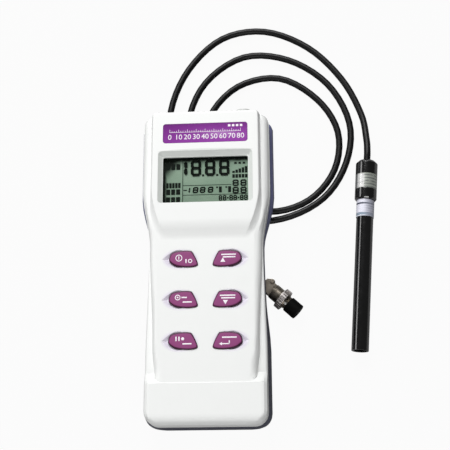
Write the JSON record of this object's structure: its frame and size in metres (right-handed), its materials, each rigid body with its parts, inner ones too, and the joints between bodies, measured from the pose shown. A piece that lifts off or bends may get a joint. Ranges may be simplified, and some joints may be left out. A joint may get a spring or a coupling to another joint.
{
  "type": "portable conductivity meter",
  "caption": "Handheld conductivity meter with raised display panel, leaf-shaped keys, rear battery door, and a dip probe on a coiled lead with a capped plug.",
  "frame": {"origin": "middle of the flat back face that rests on the table, on the case's middle line and half way along its length", "axes": "+X across the meter to the reader's right, +Y from the foot to the head, +Z out of the face"},
  "size_m": [0.1457, 0.2608, 0.038],
  "materials": {
    "case_white": "satin moulded plastic",
    "case_navy": "matt moulded plastic",
    "rubber_dark": "soft rubber",
    "steel": "bright metal",
    "clear": "clear window",
    "cell_green": "display glass",
    "elastomer": "striped elastomer",
    "board": "solder mask",
    "chips": "moulded packages",
    "purple": "printed strip",
    "cell_jacket": "printed jacket",
    "black_plastic": "semi-gloss plastic",
    "dark_chrome": "dark plated metal",
    "gold": "plated contacts",
    "cord_black": "soft jacket",
    "silver_label": "foil label",
    "pale_label": "printed label",
    "graphite": "graphite",
    "key_purple": "silicone rubber"
  },
  "bodies": {
    "meter": {"front_housing": "case_white", "rear_housing": "case_navy", "housing_seal": "rubber_dark", "housing_screws": "steel", "display_lens": "clear", "display_cell": "cell_green", "display_frame": "case_white", "contact_strips": "elastomer", "main_board": "board", "board_parts": "chips", "key_mat": "rubber_dark", "name_strip": "purple", "battery_contacts": "steel", "batteries": "cell_jacket", "socket_shell": "steel", "socket_insert": "black_plastic", "socket_nut": "steel", "plug_body": "dark_chrome", "plug_insert": "black_plastic", "plug_pins": "gold", "cord_clamp": "dark_chrome", "clamp_screws": "steel", "probe_head": "black_plastic", "probe_grommet": "cord_black", "probe_tube": "black_plastic", "head_band": "silver_label", "tube_band": "pale_label", "cell_core": "black_plastic", "cell_electrodes": "graphite", "temperature_sensor": "steel", "probe_cable": "cord_black"},
    "key_power_body": {"key_power": "key_purple"},
    "key_mode_body": {"key_mode": "key_purple"},
    "key_cal_body": {"key_cal": "key_purple"},
    "key_memory_body": {"key_memory": "key_purple"},
    "key_hold_body": {"key_hold": "key_purple"},
    "key_enter_body": {"key_enter": "key_purple"},
    "door": {"battery_door": "case_navy"},
    "ring": {"coupling_ring": "steel"},
    "cap": {"plug_cap": "black_plastic"}
  },
  "joints": [
    {"name": "key_power_press", "type": "slide", "parent": "meter", "child": "key_power_body", "axis": [0, 0, -1], "range_m": [0, 0.001], "stiffness_N_per_m": 450},
    {"name": "key_mode_press", "type": "slide", "parent": "meter", "child": "key_mode_body", "axis": [0, 0, -1], "range_m": [0, 0.001], "stiffness_N_per_m": 450},
    {"name": "key_cal_press", "type": "slide", "parent": "meter", "child": "key_cal_body", "axis": [0, 0, -1], "range_m": [0, 0.001], "stiffness_N_per_m": 450},
    {"name": "key_memory_press", "type": "slide", "parent": "meter", "child": "key_memory_body", "axis": [0, 0, -1], "range_m": [0, 0.001], "stiffness_N_per_m": 450},
    {"name": "key_hold_press", "type": "slide", "parent": "meter", "child": "key_hold_body", "axis": [0, 0, -1], "range_m": [0, 0.001], "stiffness_N_per_m": 450},
    {"name": "key_enter_press", "type": "slide", "parent": "meter", "child": "key_enter_body", "axis": [0, 0, -1], "range_m": [0, 0.001], "stiffness_N_per_m": 450},
    {"name": "door_slide", "type": "slide", "parent": "meter", "child": "door", "axis": [0, -1, 0], "range_m": [0, 0.06]},
    {"name": "ring_turn", "type": "hinge", "parent": "meter", "child": "ring", "pos_m": [0.0387, -0.0121, 0.0066], "axis": [0.7373, -0.6756, 0], "continuous": true},
    {"name": "cap_pull", "type": "slide", "parent": "meter", "child": "cap", "axis": [0.7373, -0.6756, 0], "range_m": [0, 0.009]}
  ]
}
